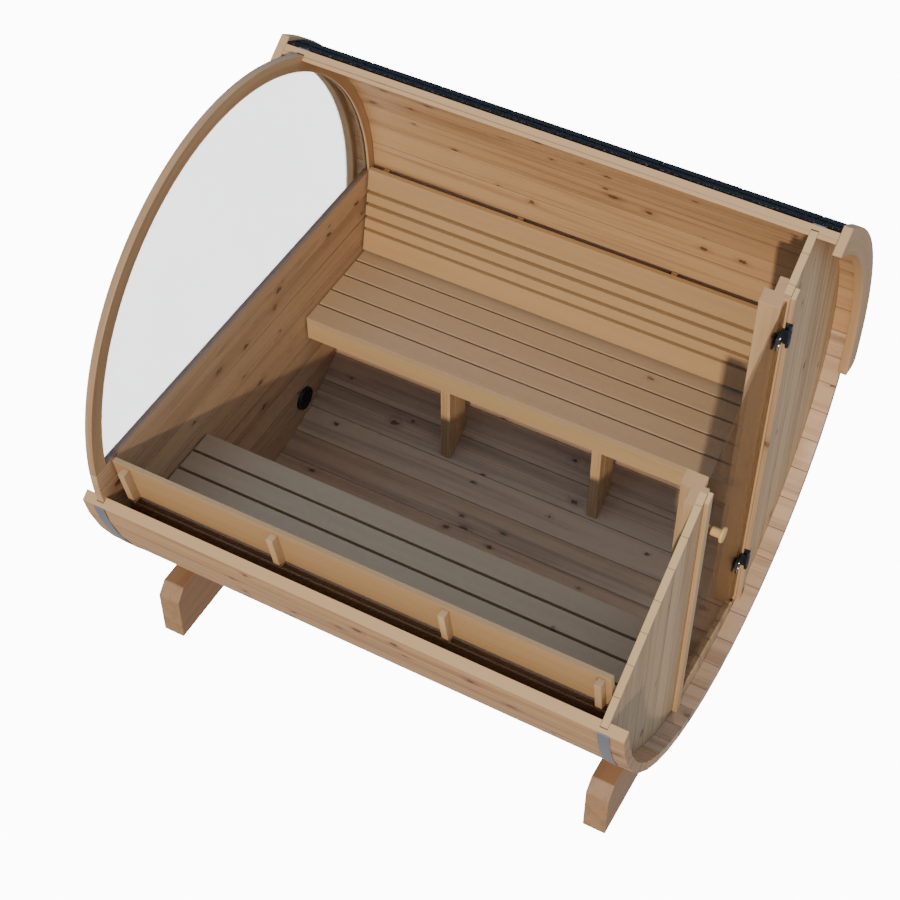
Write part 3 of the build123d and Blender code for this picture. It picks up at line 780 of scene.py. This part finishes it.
def vent_louvres():
    """A rim and level slats on the vent's round plate."""
    low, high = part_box("vent_grille")
    middle = (low + high) / 2
    radius = (high.y - low.y) / 2
    louvres = bmesh.new()
    for step in range(-LOUVRE_ROWS, LOUVRE_ROWS + 1):
        z = middle.z + step * LOUVRE_PITCH
        half = sqrt(radius ** 2 - (step * LOUVRE_PITCH) ** 2) - LOUVRE_MARGIN
        add_box(
            louvres, (high.x - LOUVRE_SUNK, middle.y - half, z - LOUVRE_PITCH / 4),
            (high.x + LOUVRE_PROUD, middle.y + half, z + LOUVRE_PITCH / 4),
        )
    inner = radius - VENT_RIM_WIDTH
    outline = (
        (0.0, radius), (VENT_RIM_HEIGHT, radius - VENT_RIM_CHAMFER), (VENT_RIM_HEIGHT, inner), (0.0, inner),
    )
    corners = [louvres.verts.new((high.x + x, middle.y + reach, middle.z)) for x, reach in outline]
    sides = [louvres.edges.new(pair) for pair in pairwise((*corners, corners[0]))]
    bmesh.ops.spin(
        louvres, geom=[*corners, *sides], cent=middle, axis=(1, 0, 0), angle=2 * pi, steps=VENT_SIDES,
        use_merge=True,
    )
    bmesh.ops.recalc_face_normals(louvres, faces=louvres.faces)
    make_piece("vent_louvres", louvres, (BLACK_PLASTIC,), "cabin")


def add_tab(mesh, course, x_start, x_end):
    """Adds one tab over the lower part of a course's outer face."""
    ends = sorted({tuple(vertex.co.yz) for vertex in course.verts}, key=lambda end: end[1])
    low_edge, high_edge = (Vector((0, *end)) for end in (ends[0], ends[-1]))
    rise = (high_edge - low_edge) * TAB_SHARE
    lift = course.normal * TAB_THICKNESS
    along = Vector((x_end - x_start, 0, 0))
    middle = low_edge + (rise + lift) / 2 + Vector(((x_start + x_end) / 2, 0, 0))
    turn = Matrix((along, rise, lift)).transposed().to_4x4()
    bmesh.ops.create_cube(mesh, size=1.0, matrix=Matrix.Translation(middle) @ turn)


def shingle_tabs():
    """Separate tabs over the lower part of every course, each course half a tab out of step."""
    roof = node_mesh("roof_shingles")
    courses = []
    for face in roof.faces:
        outward = face.calc_center_median() - BARREL_AXIS
        outward.x = 0
        if face.normal.dot(outward.normalized()) > 0.98 and face.calc_area() > COURSE_AREA:
            courses.append(face)
    courses.sort(key=lambda face: -face.calc_center_median().z)
    tabs = bmesh.new()
    for number, course in enumerate(courses):
        end = max(vertex.co.x for vertex in course.verts)
        x = -end - (number % 2) * TAB_PITCH / 2
        while x < end:
            x_start = max(x + TAB_SLOT / 2, -end)
            x_end = min(x + TAB_PITCH - TAB_SLOT / 2, end)
            if x_end - x_start > TAB_SLOT:
                add_tab(tabs, course, x_start, x_end)
            x += TAB_PITCH
    roof.free()
    bmesh.ops.recalc_face_normals(tabs, faces=tabs.faces)
    make_piece("shingle_tabs", tabs, (SHINGLE,), "cabin")


for level in ("upper", "lower"):
    hinge_trim(level)
vent_louvres()
shingle_tabs()


# Floor, light and camera


def floor_material():
    """Dark under the light that falls on it and white of its own, so that it stays even."""
    material, tree, shader = new_material("pale_floor")
    strength = camera_brightness(tree, FLOOR_GLOW, FLOOR_THROUGH_GLASS)
    tree.links.new(strength, shader.inputs["Emission Strength"])
    shader.inputs["Base Color"].default_value = (0.02, 0.02, 0.02, 1)
    shader.inputs["Roughness"].default_value = 1.0
    shader.inputs["Specular IOR Level"].default_value = 0.0
    shader.inputs["Emission Color"].default_value = WHITE
    return material


grid = bmesh.new()
bmesh.ops.create_grid(grid, x_segments=1, y_segments=1, size=FLOOR_HALF_SIZE)
floor_data = bpy.data.meshes.new("floor")
grid.to_mesh(floor_data)
grid.free()
floor_data.materials.append(floor_material())
add_to_scene("floor", floor_data)

world = bpy.data.worlds.new("studio")
world.use_nodes = True
sky = world.node_tree
background = sky.nodes["Background"]
looked_at = add(sky, "ShaderNodeLightPath").outputs["Is Camera Ray"]
sky.links.new(blend_colours(sky, looked_at, SKY_COLOUR, WHITE), background.inputs["Color"])
sky.links.new(camera_brightness(sky, SKY_GLOW, SKY_THROUGH_GLASS), background.inputs["Strength"])
bpy.context.scene.world = world

sun_data = bpy.data.lights.new("sun", "SUN")
sun_data.energy = SUN_STRENGTH
sun_data.angle = SUN_WIDTH
sun_data.color = SUN_COLOUR
sun = add_to_scene("sun", sun_data)
sun.rotation_mode = "QUATERNION"
sun.rotation_quaternion = TOWARDS_SUN.to_track_quat("Z", "Y")

camera_data = bpy.data.cameras.new("camera")
camera_data.sensor_width = 36
camera_data.lens = CAMERA_LENS
camera_data.clip_end = 100
camera = add_to_scene("camera", camera_data)
camera.location = BARREL_AXIS + CAMERA_FROM_AXIS
camera.rotation_mode = "QUATERNION"
camera.rotation_quaternion = CAMERA_BACK.to_track_quat("Z", "Y") @ Quaternion((0, 0, 1), CAMERA_ROLL)
bpy.context.scene.camera = camera
